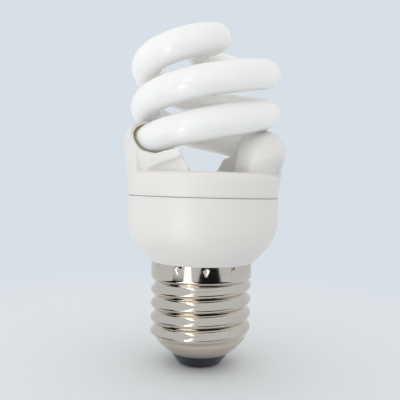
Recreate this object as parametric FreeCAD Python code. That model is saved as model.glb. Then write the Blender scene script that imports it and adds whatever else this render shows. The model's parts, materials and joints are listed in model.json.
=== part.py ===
"""Spiral energy saving lamp with an E27 screw base.

Millimetres, +Z up along the lamp axis, origin under the centre contact.
The glass leaves its left hood towards -Y, which is the lamp's front.
"""
import FreeCAD
import Part
import math
import os

from FreeCAD import Vector

# Screw base
CREST_RADIUS = 13.15          # outside of the E27 thread and of the staked collar
THREAD_DEPTH = 1.02
THREAD_PITCH = 3.63
THREAD_CRESTS = 4
CREST_LAND = 0.5
SHEET = 0.35                  # nickel-plated brass sheet
RIM_RADIUS = 7.8              # shell edge that holds the insulator
SHOULDER_HEIGHT = 5.15        # rounded run from the edge to the lowest crest
SHOULDER_BULGE = 1.1          # how far the run stands out from a straight cone
COLLAR_HEIGHT = 3.53
STAKE_COUNT = 12
STAKE_DROP = 1.3              # dents below the housing
STAKE_RADIUS = 0.55
STAKE_DEPTH = 0.3

# Insulator and centre contact
CONTACT_RADIUS = 4.4
CONTACT_THICKNESS = 0.7
CONTACT_PROUD = 0.3
RIVET_RADIUS = 1.2
RIVET_HEAD_RADIUS = 2.1
RIVET_HEAD_HEIGHT = 0.6
INSULATOR_HEIGHT = 3.6        # height that shows below the shell
INSULATOR_TIP_RADIUS = 5.6
INSULATOR_ROUNDING = 1.0
INSULATOR_FLANGE = 2.4        # flange that sits inside the shell
INSULATOR_CUP = 2.6           # height of the flange above the shell edge
INSULATOR_FLANGE_RADIUS = 9.6

# Lower housing
HOUSING_RADIUS = 19.5
HOUSING_HEIGHT = 16.5         # shoulder on the collar up to the seam
HOUSING_FOOT_RADIUS = 13.6
BOWL_SLOPE = 42.0             # degrees between the cone and the axis
BOWL_ROUNDING = 10.5
HOUSING_WALL = 1.6
NECK_WALL = 1.4
FIT = 0.1                     # clearance of parts that plug together
SEAM_GAP = 0.12
RIB_COUNT = 3
RIB_BEARING = 25.0            # degrees, first rib
RIB_WIDTH = 1.2
RIB_REACH = 1.6
RIB_HEIGHT = 5.0

# Upper cover
SKIRT_HEIGHT = 6.2
SKIRT_WALL = 1.6
SKIRT_ROUNDING = 1.5
PLATE = 1.5
PLUG_DEPTH = 3.2
PLUG_WALL = 1.2

# Glass tube
TUBE_RADIUS = 3.8
SPIRAL_INSET = 3.9            # centre line of the tube inside the housing's side
SPIRAL_LEAD = 20.2            # rise of one arm in a full turn
FRONT_RISE = 17.2             # seam to the first front pass
TUBE_END = 150.0              # degrees, inside the left hood
BRIDGE_START = 205.0          # degrees, on the last turn
BRIDGE_SPAN = 115.0
BRIDGE_RISE = 6.8             # start of the bridge to its top
HELIX_BENDS = 10
BRIDGE_BENDS = 4
TURNS_BEFORE_BRIDGE = 1

# Hoods that hold the ends of the glass
HOOD_WALL = 1.3
HOOD_GAP = 0.5
HOOD_BENDS = 3
HOOD_SECTIONS = 7
HOOD_TUCK = 3.4               # undercut of the outer wall at the plate
HOOD_FLARE = 1.0              # spread of the inner wall at the plate
WEB_END = 258.0               # degrees
FLANK_START = 165.0
FLANK_END = 215.0
FLANK_SECTIONS = 4
FLANK_DROP = 0.6
FLANK_TUCK = 0.4
FLANK_BITE = 0.15
MOUTH_ANGLE = 212.0
MOUTH_LEAN = 34.0             # degrees back from upright
LIP_DEPTH = 5.2               # lip edge below the tube centre
LIP_CORNER = 2.4              # chamfer between the mouth and the lip
RECESS_START = 214.0          # degrees, where the lip lifts off the plate
RECESS_ANGLE = 238.0
RECESS_OFFSET = 1.4           # wall beside the tube's centre line
RECESS_SLOPE = 0.28
CHANNEL_HALF_WIDTH = 3.2      # floor of the space between the hoods
CHANNEL_SLOPE = 0.55          # widening per height
LEAD_HOLE_RADIUS = 2.8
CEMENT_BEND = 1               # which bend of the tube is bonded
CEMENT_SKIN = 0.02            # film between the bond and its neighbours

# Circuit board and what it carries
BOARD_GAP = 0.9               # board to the inside of the housing
BOARD = 1.4
PIN_INSET = 1.0               # pins inside the plug ring
PIN_SIDE = 0.8
PIN_HEIGHT = 4.6
PIN_PITCH = 2.6
LEAD_RADIUS = 0.25
WIRE_RADIUS = 0.6
STAND_OFF = 0.6               # legs between the board and small parts

CAPACITOR_RADIUS = 4.0
CAPACITOR_LENGTH = 13.0
CAPACITOR_ROUNDING = 0.5
CAPACITOR_GROOVE = 1.6        # groove below the board end
CAPACITOR_PLACE = (-5.2, -0.6)

CHOKE_WIDTH = 13.0
CHOKE_DEPTH = 6.0
CHOKE_HEIGHT = 9.6
CHOKE_LIMB = 2.6
CHOKE_BACK = 2.2
BOBBIN_WALL = 0.6
WINDING_BULGE = 0.7
CHOKE_PLACE = (5.6, 2.6)

TOROID_RADIUS = 4.4
TOROID_HOLE = 2.2
TOROID_HEIGHT = 3.6
TOROID_TURNS = 9
TOROID_WIRE = 0.35
TOROID_PLACE = (-4.6, 9.6)

TRANSISTOR_RADIUS = 2.3
TRANSISTOR_FLAT = 1.3
TRANSISTOR_HEIGHT = 4.6
TRANSISTOR_LEG = 0.22
TRANSISTOR_LEG_LENGTH = 2.2
TRANSISTOR_PITCH = 1.27
TRANSISTOR_PLACES = {"low": (-1.4, -11.8), "high": (4.6, -11.4)}

FILM_CORNER = 0.8
FILM_CAPACITORS = {
    "resonant": (7.4, 4.0, 6.4, 10.4, -6.6, 55.0),
    "coupling": (7.0, 3.4, 6.0, -12.2, 1.4, 90.0),
    "start": (5.2, 2.6, 4.6, 10.2, 10.0, 135.0),
}

DIODE_RADIUS = 1.2
DIODE_LENGTH = 4.4
DIODE_SPAN = 7.6
DIODE_PITCH = 3.2
DIODE_PLACE = (-3.6, -6.8)
DIODE_COUNT = 4

RESISTOR_RADIUS = 0.95
RESISTOR_LENGTH = 3.6
RESISTOR_SPAN = 6.4
RESISTOR_PITCH = 2.8
RESISTOR_PLACE = (2.4, 4.4)
RESISTOR_COUNT = 3

DIAC_RADIUS = 0.9
DIAC_LENGTH = 3.4
DIAC_SPAN = 6.0
DIAC_PLACE = (-8.6, 5.2)

FUSE_RADIUS = 1.6
FUSE_LENGTH = 8.0
FUSE_PLACE = (1.2, -6.4)
FUSE_DROP = 6.0               # lead from the board to the fuse
SLEEVE_WALL = 0.35
NEUTRAL_BEARING = 205.0       # degrees, side of the neutral wire

# Heights that follow from the sizes above
RIM_Z = CONTACT_PROUD + INSULATOR_HEIGHT
THREAD_Z = RIM_Z + SHOULDER_HEIGHT
COLLAR_Z = THREAD_Z + THREAD_PITCH * THREAD_CRESTS
FOOT_Z = COLLAR_Z + COLLAR_HEIGHT
SEAM_Z = FOOT_Z + HOUSING_HEIGHT
COVER_Z = SEAM_Z + SEAM_GAP
PLATE_Z = SEAM_Z + SKIRT_HEIGHT
PLATE_UNDER_Z = PLATE_Z - PLATE
BOARD_TOP_Z = COVER_Z - PLUG_DEPTH - FIT
BOARD_Z = BOARD_TOP_Z - BOARD
NECK_Z = COLLAR_Z + FIT
FRONT_Z = SEAM_Z + FRONT_RISE

NECK_RADIUS = CREST_RADIUS - SHEET - FIT
NECK_BORE = NECK_RADIUS - NECK_WALL
ROOT_RADIUS = CREST_RADIUS - THREAD_DEPTH
THREAD_RUN = (THREAD_PITCH - CREST_LAND) / 2
THREAD_ROUNDING = (THREAD_RUN ** 2 + THREAD_DEPTH ** 2) / (4 * THREAD_DEPTH)
HOUSING_BORE = HOUSING_RADIUS - HOUSING_WALL
PLUG_RADIUS = HOUSING_BORE - FIT
PLUG_BORE = PLUG_RADIUS - PLUG_WALL
BOARD_RADIUS = HOUSING_BORE - BOARD_GAP
SPIRAL_RADIUS = HOUSING_RADIUS - SPIRAL_INSET
SLEEVE_BORE = TUBE_RADIUS + HOOD_GAP
SLEEVE_RADIUS = SLEEVE_BORE + HOOD_WALL
BRIDGE_ANGLE = BRIDGE_START + 360.0 * TURNS_BEFORE_BRIDGE
HELIX_STEP = (BRIDGE_ANGLE - TUBE_END) / HELIX_BENDS
DOME_SPAN = math.degrees(SLEEVE_RADIUS / SPIRAL_RADIUS)

AXIS = Vector(0, 0, 1)
ORIGIN = Vector(0, 0, 0)


def revolved(points):
    """Solid of revolution about the lamp axis from an outline of (radius, height)."""
    corners = [Vector(radius, 0, height) for radius, height in points]
    outline = Part.makePolygon(corners + corners[:1])
    return Part.Face(outline).revolve(ORIGIN, AXIS, 360)


def revolved_edges(edges):
    """Solid of revolution from a closed set of edges in the XZ plane."""
    wire = Part.Wire(Part.__sortEdges__(edges))
    return Part.Face(wire).revolve(ORIGIN, AXIS, 360)


def at(radius, height):
    """Point of a profile in the XZ plane."""
    return Vector(radius, 0, height)


def line(first, second):
    """Straight edge between two points."""
    return Part.makeLine(first, second)


def polar(radius, degrees, height):
    """Point from a radius, a bearing and a height."""
    angle = math.radians(degrees)
    return Vector(radius * math.cos(angle), radius * math.sin(angle), height)


def half_turned(shape):
    """Copy of a shape turned half a turn about the lamp axis."""
    copy = shape.copy()
    copy.rotate(ORIGIN, AXIS, 180)
    return copy


def merged(solids):
    """One solid from solids that touch or overlap."""
    result = solids[0].fuse(solids[1:]).removeSplitter()
    return result.Solids[0] if len(result.Solids) == 1 else result


def post(radius, height, base):
    """Upright round post on a base point."""
    return Part.makeCylinder(radius, height, base, AXIS)


# Centre line of the glass


def tube_point(degrees):
    """Centre of the left arm: a helix, then half of the bridge over the axis."""
    height = FRONT_Z + SPIRAL_LEAD * (degrees - 270.0) / 360.0
    if degrees <= BRIDGE_ANGLE:
        return polar(SPIRAL_RADIUS, degrees, height)
    part = (degrees - BRIDGE_ANGLE) / BRIDGE_SPAN
    foot = FRONT_Z + SPIRAL_LEAD * (BRIDGE_ANGLE - 270.0) / 360.0
    climb = SPIRAL_LEAD * BRIDGE_SPAN / 360.0
    ease = part ** 3 - 2 * part ** 2 + part
    height = foot + climb * ease + BRIDGE_RISE * part ** 2 * (3 - 2 * part)
    return polar(SPIRAL_RADIUS * math.cos(part * math.pi / 2), degrees, height)


def tube_direction(degrees):
    """Unit direction of the left arm's centre line."""
    small = 0.01
    back = small if degrees == BRIDGE_ANGLE else small / 2
    ahead = 0.0 if degrees == BRIDGE_ANGLE else small / 2
    return (tube_point(degrees + ahead) - tube_point(degrees - back)).normalize()


def arc_joint(start, start_way, end, end_way):
    """Point where two tangent arcs meet between two directed points."""
    span = end - start
    ways = start_way + end_way
    turn = 2 * (1 - start_way.dot(end_way))
    reach = math.sqrt(span.dot(ways) ** 2 + turn * span.dot(span)) - span.dot(ways)
    return (start + end + (start_way - end_way) * (reach / turn)) * 0.5


def bend(start, way, end, radius, bore=0.0):
    """Round bar along the arc that leaves start in a direction and reaches end."""
    chord = end - start
    pole = way.cross(chord).normalize()
    inward = pole.cross(way)
    bend_radius = chord.dot(chord) / (2 * chord.dot(inward))
    turn = 2 * math.degrees(math.asin(chord.Length / (2 * bend_radius)))
    section = Part.Face(Part.Wire(Part.makeCircle(radius, start, way)))
    if bore > 0:
        section = section.cut(Part.Face(Part.Wire(Part.makeCircle(bore, start, way)))).Faces[0]
    return section.revolve(start + inward * bend_radius, pole, turn)


def bends(angles, radius, bore=0.0):
    """Round bars along the left arm, two tangent arcs for each pair of bearings."""
    solids = []
    for first, last in zip(angles, angles[1:]):
        start, end = tube_point(first), tube_point(last)
        way, end_way = tube_direction(first), tube_direction(last)
        joint = arc_joint(start, way, end, end_way)
        chord = joint - start
        joint_way = chord * (2 * way.dot(chord) / chord.dot(chord)) - way
        solids.append(bend(start, way, joint, radius, bore))
        solids.append(bend(joint, joint_way, end, radius, bore))
    return solids


def spiral_tube():
    """Glass tube: two arms with rounded ends, joined by the bridge."""
    helix = [TUBE_END + HELIX_STEP * index for index in range(HELIX_BENDS + 1)]
    step = BRIDGE_SPAN / BRIDGE_BENDS
    bridge = [BRIDGE_ANGLE + step * index for index in range(1, BRIDGE_BENDS + 1)]
    arm = bends(helix + bridge, TUBE_RADIUS)
    arm.append(Part.makeSphere(TUBE_RADIUS, tube_point(TUBE_END)))
    return merged(arm + [half_turned(solid) for solid in arm])


# Upper cover


def hood_section(degrees):
    """Arch over the glass in the half plane of a bearing, smaller towards the dome's end."""
    centre = tube_point(degrees).z
    beyond = max(0.0, TUBE_END - degrees) / DOME_SPAN
    share = math.sqrt(1 - beyond ** 2)
    half = SLEEVE_RADIUS * share
    low = PLATE_UNDER_Z + PLATE / 4
    inner = polar(SPIRAL_RADIUS - half, degrees, centre)
    crown = polar(SPIRAL_RADIUS, degrees, centre + half)
    outer = polar(SPIRAL_RADIUS + half, degrees, centre)
    outer_foot = polar(SPIRAL_RADIUS + half - HOOD_TUCK * share, degrees, low)
    inner_foot = polar(SPIRAL_RADIUS - half - HOOD_FLARE * share, degrees, low)
    arch = Part.Arc(inner, crown, outer).toShape()
    return Part.Wire([arch, line(outer, outer_foot), line(outer_foot, inner_foot), line(inner_foot, inner)])


def hood_body():
    """Outside of the left hood, from its closed dome to past its mouth."""
    dome = [TUBE_END - DOME_SPAN * beyond for beyond in (0.98, 0.85, 0.6, 0.3)]
    step = (WEB_END - TUBE_END) / HOOD_SECTIONS
    run = [TUBE_END + step * index for index in range(HOOD_SECTIONS + 1)]
    return Part.makeLoft([hood_section(angle) for angle in dome + run], True)


def flank_section(degrees):
    """Side of the hood in the half plane of a bearing, from the seam out to the arch."""
    top = tube_point(degrees).z - FLANK_DROP
    low = COVER_Z + FLANK_DROP
    corners = [
        polar(HOUSING_RADIUS - FLANK_BITE, degrees, low),
        polar(SPIRAL_RADIUS + SLEEVE_RADIUS - FLANK_TUCK, degrees, top),
        polar(SPIRAL_RADIUS, degrees, top),
        polar(HOUSING_RADIUS - SKIRT_WALL, degrees, low),
    ]
    return Part.makePolygon(corners + corners[:1])


def hood_flank():
    """Drafted side wall that carries the left hood down to the seam."""
    step = (FLANK_END - FLANK_START) / FLANK_SECTIONS
    angles = [FLANK_START + step * index for index in range(FLANK_SECTIONS + 1)]
    return Part.makeLoft([flank_section(angle) for angle in angles], True)


def tube_passage():
    """Space for the glass through the left hood, with a round blind end."""
    angles = [TUBE_END + HELIX_STEP * index for index in range(HOOD_BENDS + 1)]
    end = Part.makeSphere(SLEEVE_BORE, tube_point(TUBE_END))
    return merged(bends(angles, SLEEVE_BORE) + [end])


def lead_hole():
    """Upright hole under the end of the glass for its lead wires."""
    end = tube_point(TUBE_END)
    low = PLATE_UNDER_Z - PLATE
    return post(LEAD_HOLE_RADIUS, end.z - low, Vector(end.x, end.y, low))


def upright_prism(bearing, distance, outline, depth):
    """Prism that starts at a distance from the axis; outline of (run, height)."""
    outward = polar(1, bearing, 0)
    ahead = polar(1, bearing + 90, 0)
    corners = [outward * distance + ahead * run + AXIS * height for run, height in outline]
    return Part.Face(Part.makePolygon(corners + corners[:1])).extrude(outward * depth)


def mouth_cutter():
    """Block that opens the sleeve: a leaning mouth above a rising lip."""
    centre = tube_point(MOUTH_ANGLE).z
    lean = math.tan(math.radians(MOUTH_LEAN))
    rise = SPIRAL_LEAD / (2 * math.pi * SPIRAL_RADIUS)
    near, far, top = LIP_DEPTH * lean, SPIRAL_RADIUS, 2 * SLEEVE_RADIUS
    lip = near + LIP_CORNER
    side = LIP_DEPTH - LIP_CORNER
    outline = [
        (lip, centre + lip * rise - LIP_DEPTH),
        (far, centre + far * rise - LIP_DEPTH),
        (far, centre + top),
        (-top * lean, centre + top),
        (side * lean, centre - side),
    ]
    reach = 2 * SLEEVE_RADIUS
    return upright_prism(MOUTH_ANGLE, SPIRAL_RADIUS - reach, outline, 2 * reach)


def web_recess():
    """Wedge that sets the wall back between the rising lip and the plate."""
    start = -SPIRAL_RADIUS * math.sin(math.radians(RECESS_ANGLE - RECESS_START))
    run = SPIRAL_RADIUS
    outline = [(start, PLATE_Z), (start + run, PLATE_Z), (start + run, PLATE_Z + run * RECESS_SLOPE)]
    return upright_prism(RECESS_ANGLE, SPIRAL_RADIUS + RECESS_OFFSET, outline, SPIRAL_RADIUS)


def channel():
    """Open space between the two hoods, wider towards the top."""
    wide = CHANNEL_HALF_WIDTH + CHANNEL_SLOPE * FRONT_RISE
    outline = [
        (-CHANNEL_HALF_WIDTH, PLATE_Z),
        (CHANNEL_HALF_WIDTH, PLATE_Z),
        (wide, PLATE_Z + FRONT_RISE),
        (-wide, PLATE_Z + FRONT_RISE),
    ]
    return upright_prism(270, -2 * HOUSING_RADIUS, outline, 4 * HOUSING_RADIUS)


def cover_skirt():
    """Skirt with a rounded top edge, plate, and a ring that plugs into the housing."""
    skirt = revolved([
        (0, PLATE_UNDER_Z),
        (PLUG_BORE, PLATE_UNDER_Z),
        (PLUG_BORE, COVER_Z - PLUG_DEPTH),
        (PLUG_RADIUS, COVER_Z - PLUG_DEPTH),
        (PLUG_RADIUS, COVER_Z),
        (HOUSING_RADIUS, COVER_Z),
        (HOUSING_RADIUS, PLATE_Z),
        (0, PLATE_Z),
    ])
    rim = [edge for edge in skirt.Edges if is_ring(edge, HOUSING_RADIUS, PLATE_Z)]
    return skirt.makeFillet(SKIRT_ROUNDING, rim)


def upper_cover():
    """White cover: skirt and two hoods half a turn apart, opened for the glass."""
    hood = [hood_body(), hood_flank()]
    body = merged([cover_skirt()] + hood + [half_turned(solid) for solid in hood])
    space = [tube_passage(), lead_hole(), mouth_cutter(), web_recess()]
    for cutter in space + [half_turned(solid) for solid in space] + [channel()]:
        body = body.cut(cutter)
    return max(body.Solids, key=lambda solid: solid.Volume)


def is_ring(edge, radius, height):
    """Whether an edge is a full circle of a radius about the axis at a height."""
    curve = edge.Curve
    if not isinstance(curve, Part.Circle):
        return False
    return abs(curve.Radius - radius) < 1e-6 and abs(curve.Center.z - height) < 1e-6


# Lower housing and screw base


def bowl_profile(offset):
    """Edges of the housing's side from the foot to the seam, moved inwards by an offset."""
    slope = math.radians(BOWL_SLOPE)
    foot = at(HOUSING_FOOT_RADIUS - offset * math.cos(slope), FOOT_Z + offset * math.sin(slope))
    radius = BOWL_ROUNDING - offset
    centre_r = HOUSING_RADIUS - BOWL_ROUNDING
    touch_r = centre_r + radius * math.cos(slope)
    touch_z = foot.z + (touch_r - foot.x) / math.tan(slope)
    centre_z = touch_z + radius * math.sin(slope)
    touch = at(touch_r, touch_z)
    middle = at(centre_r + radius * math.cos(slope / 2), centre_z - radius * math.sin(slope / 2))
    side = at(centre_r + radius, centre_z)
    top = at(centre_r + radius, SEAM_Z)
    arc = Part.Arc(touch, middle, side).toShape()
    return foot, top, [line(foot, touch), arc, line(side, top)]


def housing_rib(index):
    """Upright rib inside the bowl, whose top carries the board."""
    base = Vector(HOUSING_BORE - RIB_REACH, -RIB_WIDTH / 2, BOARD_Z - RIB_HEIGHT)
    rib = Part.makeBox(HOUSING_WALL / 2 + RIB_REACH, RIB_WIDTH, RIB_HEIGHT, base)
    rib.rotate(ORIGIN, AXIS, 360.0 * index / RIB_COUNT + RIB_BEARING)
    return rib


def stake(index, radius, depth):
    """Cone of one staking dent, pointing at the axis."""
    bearing = 360.0 * (index + 0.5) / STAKE_COUNT
    height = FOOT_Z - STAKE_DROP
    start = polar(CREST_RADIUS, bearing, height)
    return Part.makeCone(radius, radius * 0.2, depth, start, polar(-1, bearing, 0))


def lower_housing():
    """White bowl with a neck for the shell and ribs for the board."""
    foot, top, outer = bowl_profile(0.0)
    inner_foot, inner_top, inner = bowl_profile(HOUSING_WALL)
    neck_top = at(NECK_BORE, inner_foot.z - (inner_foot.x - NECK_BORE) / math.tan(math.radians(BOWL_SLOPE)))
    joints = [
        (foot, at(NECK_RADIUS, FOOT_Z)),
        (at(NECK_RADIUS, FOOT_Z), at(NECK_RADIUS, NECK_Z)),
        (at(NECK_RADIUS, NECK_Z), at(NECK_BORE, NECK_Z)),
        (at(NECK_BORE, NECK_Z), neck_top),
        (neck_top, inner_foot),
        (inner_top, top),
    ]
    bowl = revolved_edges(outer + inner + [line(first, second) for first, second in joints])
    blank = revolved_edges(outer + [line(foot, at(0, FOOT_Z)), line(at(0, FOOT_Z), at(0, SEAM_Z)),
                                    line(at(0, SEAM_Z), top)])
    ribs = [housing_rib(index).common(blank) for index in range(RIB_COUNT)]
    pockets = [stake(index, STAKE_RADIUS + SHEET, STAKE_DEPTH + SHEET + FIT) for index in range(STAKE_COUNT)]
    return merged([bowl] + ribs).cut(pockets).Solids[0]


def thread_arc(crest_z, side, offset):
    """Two tangent arcs from the edge of a crest's land to the next root, above or below."""
    edge_z = crest_z + side * CREST_LAND / 2
    root_z = edge_z + side * THREAD_RUN
    outer, inner = THREAD_ROUNDING - offset, THREAD_ROUNDING + offset
    turn = math.asin(THREAD_RUN / (2 * THREAD_ROUNDING))
    crest_r = CREST_RADIUS - THREAD_ROUNDING
    root_r = ROOT_RADIUS + THREAD_ROUNDING

    def on_crest(share):
        return at(crest_r + outer * math.cos(turn * share), edge_z + side * outer * math.sin(turn * share))

    def on_root(share):
        return at(root_r - inner * math.cos(turn * share), root_z - side * inner * math.sin(turn * share))

    crest = Part.Arc(on_crest(0), on_crest(0.5), on_crest(1)).toShape()
    root = Part.Arc(on_root(1), on_root(0.5), on_root(0)).toShape()
    return [crest, root]


def shell_profile(offset):
    """Edges of the shell from its lower edge up to the housing, moved inwards by an offset."""
    crest = CREST_RADIUS - offset
    low = at(RIM_RADIUS, RIM_Z + offset)
    high = at(crest, THREAD_Z)
    slant = (high - low).normalize()
    middle = (low + high) * 0.5 + Vector(slant.z, 0, -slant.x) * SHOULDER_BULGE
    edges = [Part.Arc(low, middle, high).toShape()]
    for index in range(THREAD_CRESTS):
        crest_z = THREAD_Z + CREST_LAND / 2 + THREAD_PITCH * index
        land = line(at(crest, crest_z - CREST_LAND / 2), at(crest, crest_z + CREST_LAND / 2))
        edges += [land] + thread_arc(crest_z, 1, offset)
        edges += thread_arc(crest_z + THREAD_PITCH, -1, offset)
    return low, at(crest, FOOT_Z), edges + [line(at(crest, COLLAR_Z), at(crest, FOOT_Z))]


def screw_shell():
    """Rolled shell: rounded shoulder, thread as round ridges, collar with staking dents."""
    low, top, outer = shell_profile(0.0)
    inner_low, inner_top, inner = shell_profile(SHEET)
    sleeve = revolved_edges(outer + inner + [line(low, inner_low), line(top, inner_top)])
    stakes = range(STAKE_COUNT)
    bumps = [stake(index, STAKE_RADIUS + SHEET, STAKE_DEPTH + SHEET) for index in stakes]
    dents = [stake(index, STAKE_RADIUS, STAKE_DEPTH) for index in stakes]
    return merged([sleeve] + bumps).cut(dents).Solids[0]


def base_insulator():
    """Black insulator: tip, flange inside the shell, recess and hole for the contact."""
    top = RIM_Z + INSULATOR_CUP
    low, high, shell = shell_profile(SHEET)
    cone = (high.x - low.x) / (THREAD_Z - low.z)
    tip = revolved([
        (0, CONTACT_PROUD),
        (INSULATOR_TIP_RADIUS, CONTACT_PROUD),
        (RIM_RADIUS, RIM_Z),
        (RIM_RADIUS, low.z),
        (INSULATOR_FLANGE_RADIUS, low.z + (INSULATOR_FLANGE_RADIUS - RIM_RADIUS) / cone),
        (INSULATOR_FLANGE_RADIUS, top),
        (0, top),
    ])
    edge = [item for item in tip.Edges if is_ring(item, INSULATOR_TIP_RADIUS, CONTACT_PROUD)]
    tip = tip.makeFillet(INSULATOR_ROUNDING, edge)
    cup_floor = top - INSULATOR_FLANGE / 2
    cup = post(INSULATOR_FLANGE_RADIUS - INSULATOR_FLANGE / 2, top, Vector(0, 0, cup_floor))
    recess = post(CONTACT_RADIUS, CONTACT_THICKNESS, ORIGIN)
    return tip.cut([cup, recess, post(RIVET_RADIUS, top, ORIGIN)]).Solids[0]


def centre_contact():
    """Contact disc with a rivet that is headed over inside the insulator."""
    cup_floor = RIM_Z + INSULATOR_CUP - INSULATOR_FLANGE / 2
    disc = post(CONTACT_RADIUS, CONTACT_THICKNESS, ORIGIN)
    ring = [item for item in disc.Edges if is_ring(item, CONTACT_RADIUS, 0)]
    disc = disc.makeFillet(CONTACT_PROUD * 0.9, ring)
    shank = post(RIVET_RADIUS, cup_floor, ORIGIN)
    head = post(RIVET_HEAD_RADIUS, RIVET_HEAD_HEIGHT, Vector(0, 0, cup_floor))
    return merged([disc, shank, head])


# Circuit board and its parts


def pin_places():
    """Wrap pins: a pair under each end of the glass."""
    along = tube_direction(TUBE_END)
    side = Vector(along.x, along.y, 0).normalize() * (PIN_PITCH / 2)
    middle = polar(PLUG_BORE - PIN_INSET, TUBE_END, 0)
    pair = [middle - side, middle + side]
    return pair, [Vector(-spot.x, -spot.y, 0) for spot in pair]


def wrap_pin(spot):
    """Square post through the board."""
    base = Vector(spot.x - PIN_SIDE / 2, spot.y - PIN_SIDE / 2, BOARD_Z)
    return Part.makeBox(PIN_SIDE, PIN_SIDE, BOARD + PIN_HEIGHT, base)


def electrode_lead(spot):
    """Lead wire from the end of the glass down beside its wrap pin."""
    beside = spot + Vector(math.copysign(PIN_SIDE / 2 + LEAD_RADIUS, -spot.x), 0, 0)
    low = BOARD_TOP_Z + PIN_HEIGHT / 4
    end = tube_point(TUBE_END)
    wire = post(LEAD_RADIUS, end.z - low, Vector(beside.x, beside.y, low))
    glass = [Part.makeSphere(TUBE_RADIUS, end), bends([TUBE_END, TUBE_END + HELIX_STEP], TUBE_RADIUS)[0]]
    return wire.cut(glass + [half_turned(solid) for solid in glass]).Solids[0]


def circuit_board():
    """Round board with holes for the wrap pins and the hanging parts' legs."""
    board = post(BOARD_RADIUS, BOARD, Vector(0, 0, BOARD_Z))
    left, right = pin_places()
    return board.cut([wrap_pin(spot) for spot in left + right]).Solids[0]


def bulk_capacitor():
    """Round capacitor that hangs from the board into the neck."""
    base = Vector(CAPACITOR_PLACE[0], CAPACITOR_PLACE[1], BOARD_Z - CAPACITOR_LENGTH)
    can = post(CAPACITOR_RADIUS, CAPACITOR_LENGTH, base)
    groove_z = CAPACITOR_LENGTH - CAPACITOR_GROOVE
    groove = Part.makeTorus(CAPACITOR_RADIUS, CAPACITOR_ROUNDING, base + Vector(0, 0, groove_z))
    ends = [edge for edge in can.Edges if isinstance(edge.Curve, Part.Circle)]
    return can.makeFillet(CAPACITOR_ROUNDING, ends).cut(groove)


def block(size, centre_x, centre_y, low):
    """Upright block about a point of the board."""
    corner = Vector(centre_x - size[0] / 2, centre_y - size[1] / 2, low)
    return Part.makeBox(size[0], size[1], size[2], corner)


def choke_core(side):
    """Half of the ferrite core: a back with three limbs, towards one side."""
    x, y = CHOKE_PLACE
    low = BOARD_Z - STAND_OFF - CHOKE_HEIGHT
    half = CHOKE_WIDTH / 2
    outline = [
        (half, 0), (half, half), (-half, half), (-half, 0),
        (-half + CHOKE_BACK, 0), (-half + CHOKE_BACK, half - CHOKE_BACK),
        (-CHOKE_LIMB / 2, half - CHOKE_BACK), (-CHOKE_LIMB / 2, 0),
        (CHOKE_LIMB / 2, 0), (CHOKE_LIMB / 2, half - CHOKE_BACK),
        (half - CHOKE_BACK, half - CHOKE_BACK), (half - CHOKE_BACK, 0),
    ]
    scale = CHOKE_HEIGHT / CHOKE_WIDTH
    middle = low + CHOKE_HEIGHT / 2
    corners = [
        Vector(x - CHOKE_DEPTH / 2, y + across, middle + side * up * scale) for across, up in outline
    ]
    face = Part.Face(Part.makePolygon(corners + corners[:1]))
    return face.extrude(Vector(CHOKE_DEPTH, 0, 0))


def choke_window():
    """Height and depth left for the bobbin between the core's backs and limbs."""
    scale = CHOKE_HEIGHT / CHOKE_WIDTH
    height = CHOKE_HEIGHT - 2 * CHOKE_BACK * scale
    reach = CHOKE_WIDTH / 2 - CHOKE_BACK - CHOKE_LIMB / 2
    return height, reach


def choke_bobbin():
    """Coil former round the middle limb, with a flange at each end."""
    x, y = CHOKE_PLACE
    height, reach = choke_window()
    middle = BOARD_Z - STAND_OFF - CHOKE_HEIGHT / 2
    low = middle - height / 2
    barrel = (CHOKE_DEPTH + 2 * BOBBIN_WALL + 2 * FIT, CHOKE_LIMB + 2 * BOBBIN_WALL + 2 * FIT)
    width = CHOKE_LIMB + 2 * reach - 2 * FIT
    flange = (CHOKE_DEPTH + 2 * reach - 2 * FIT, width, BOBBIN_WALL)
    solids = [block((barrel[0], barrel[1], height - 2 * FIT), x, y, low + FIT)]
    solids.append(block(flange, x, y, low + FIT))
    solids.append(block(flange, x, y, low + height - FIT - BOBBIN_WALL))
    limb = block((CHOKE_DEPTH + 2 * FIT, CHOKE_LIMB + 2 * FIT, 2 * height), x, y, low - height / 2)
    return merged(solids).cut(limb).Solids[0]


def choke_winding():
    """Copper winding between the bobbin's flanges, rounded at its corners."""
    x, y = CHOKE_PLACE
    height, reach = choke_window()
    low = BOARD_Z - STAND_OFF - CHOKE_HEIGHT / 2 - height / 2 + FIT + BOBBIN_WALL
    tall = height - 2 * FIT - 2 * BOBBIN_WALL
    grow = 2 * (reach - WINDING_BULGE)
    outer = block((CHOKE_DEPTH + grow, CHOKE_LIMB + grow, tall), x, y, low)
    upright = [edge for edge in outer.Edges if abs(edge.tangentAt(edge.FirstParameter).z) > 0.9]
    outer = outer.makeFillet(grow / 6, upright)
    barrel = (CHOKE_DEPTH + 2 * BOBBIN_WALL + 2 * FIT, CHOKE_LIMB + 2 * BOBBIN_WALL + 2 * FIT, tall)
    return outer.cut(block(barrel, x, y, low)).Solids[0]


def toroid_core():
    """Small ferrite ring that lies under the board."""
    base = Vector(TOROID_PLACE[0], TOROID_PLACE[1], BOARD_Z - 2 * TOROID_WIRE - TOROID_HEIGHT)
    ring = post(TOROID_RADIUS, TOROID_HEIGHT, base)
    return ring.cut(post(TOROID_HOLE, TOROID_HEIGHT, base))


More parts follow.
